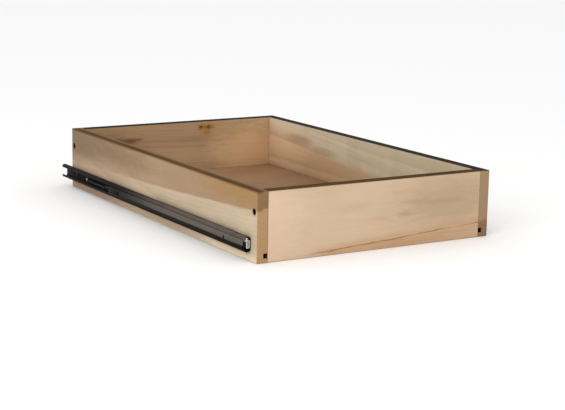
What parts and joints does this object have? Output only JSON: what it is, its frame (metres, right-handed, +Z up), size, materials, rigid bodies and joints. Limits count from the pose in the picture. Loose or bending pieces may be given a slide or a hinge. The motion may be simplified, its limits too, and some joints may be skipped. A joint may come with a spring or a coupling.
{
  "type": "roll-out drawer with side-mounted slides",
  "caption": "Shallow wooden roll-out drawer box on a pair of side-mounted ball-bearing cabinet slides that carry it out of a base cabinet.",
  "frame": {"origin": "on the plane of the drawer's lower edges, under the middle of the whole part with its slides", "axes": "+X to the right seen from the front, -Y towards the room and +Y into the cabinet, +Z up"},
  "size_m": [0.3486, 0.5386, 0.0825],
  "materials": {
    "birch": "sealed solid birch",
    "birch_front": "sealed solid birch, pink cream",
    "birch_floor": "brown-faced plywood panel",
    "beech_dowel": "plain beech",
    "dark_steel": "dark satin coated steel",
    "grey_steel": "grey satin coated steel",
    "bright_zinc": "bright zinc plate",
    "bearing_steel": "polished balls",
    "spring_steel": "spring wire",
    "retainer_plastic": "black moulded strip",
    "black_plastic": "black moulded",
    "black_rubber": "soft rubber",
    "black_screw": "black phosphate"
  },
  "bodies": {
    "cabinet_rails": {"left_cabinet_rail": "grey_steel", "right_cabinet_rail": "grey_steel"},
    "drawer": {"left_side": "birch", "right_side": "birch", "front_panel": "birch_front", "back_panel": "birch", "bottom_panel": "birch_floor", "corner_screws": "black_screw", "corner_dowels": "beech_dowel", "left_drawer_channel": "dark_steel", "left_lever_rivet": "bright_zinc", "left_front_stop": "bright_zinc", "left_front_stop_rivet": "bright_zinc", "left_bumper": "black_rubber", "left_channel_screws": "black_screw", "right_drawer_channel": "dark_steel", "right_lever_rivet": "bright_zinc", "right_front_stop": "bright_zinc", "right_front_stop_rivet": "bright_zinc", "right_bumper": "black_rubber", "right_channel_screws": "black_screw"},
    "left_ball_train": {"left_ball_retainers": "retainer_plastic", "left_balls": "bearing_steel"},
    "right_ball_train": {"right_ball_retainers": "retainer_plastic", "right_balls": "bearing_steel"},
    "left_lever": {"left_release_lever": "black_plastic", "left_lever_spring": "spring_steel"},
    "right_lever": {"right_release_lever": "black_plastic", "right_lever_spring": "spring_steel"}
  },
  "joints": [
    {"name": "drawer_slide", "type": "slide", "parent": "cabinet_rails", "child": "drawer", "axis": [0, -1, 0], "range_m": [0, 0.381]},
    {"name": "left_balls_roll", "type": "slide", "parent": "cabinet_rails", "child": "left_ball_train", "axis": [0, -1, 0], "range_m": [0, 0.1905]},
    {"name": "right_balls_roll", "type": "slide", "parent": "cabinet_rails", "child": "right_ball_train", "axis": [0, -1, 0], "range_m": [0, 0.1905]},
    {"name": "left_lever_pivot", "type": "hinge", "parent": "drawer", "child": "left_lever", "pos_m": [-0.16765, 0.19015, 0.02025], "axis": [-1, 0, 0], "range_deg": [0, 2], "stiffness_Nm_per_rad": 1.2, "springref_deg": -2.86},
    {"name": "right_lever_pivot", "type": "hinge", "parent": "drawer", "child": "right_lever", "pos_m": [0.16765, 0.19015, 0.02025], "axis": [-1, 0, 0], "range_deg": [0, 2], "stiffness_Nm_per_rad": 1.2, "springref_deg": -2.86}
  ],
  "couplings": [
    {"joint": "left_balls_roll", "follows": "drawer_slide", "ratio": 0.5},
    {"joint": "right_balls_roll", "follows": "drawer_slide", "ratio": 0.5}
  ]
}
